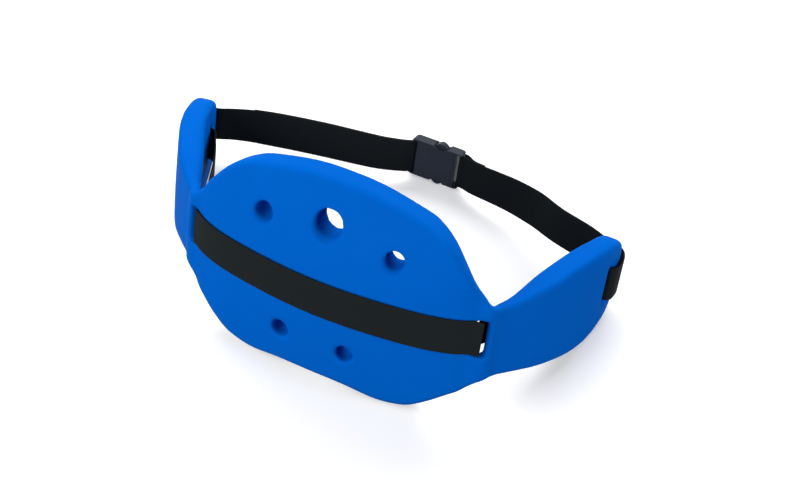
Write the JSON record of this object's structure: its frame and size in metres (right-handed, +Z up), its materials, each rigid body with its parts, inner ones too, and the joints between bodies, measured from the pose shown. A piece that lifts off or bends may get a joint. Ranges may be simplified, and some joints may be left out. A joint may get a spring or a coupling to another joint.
{
  "type": "aqua jogging belt",
  "caption": "Buoyancy belt for deep water running: a curved foam back panel with hinged wings, a webbing strap threaded through its slots and a side release buckle.",
  "frame": {"origin": "middle of the bottom of the belt's bounding box, on the surface it stands on", "axes": "+X across the belt from wing to wing, -Y the way the back panel's outer face looks, +Z up; the belt leans back onto its lower edges as it stands"},
  "size_m": [0.4936, 0.3188, 0.209],
  "materials": {
    "foam": "matte closed-cell foam skin",
    "webbing": "woven, matte",
    "buckle_plastic": "satin moulded"
  },
  "bodies": {
    "root": {"foam_float": "foam", "webbing_strap": "webbing", "buckle_socket": "buckle_plastic", "buckle_plug": "buckle_plastic"}
  },
  "joints": []
}
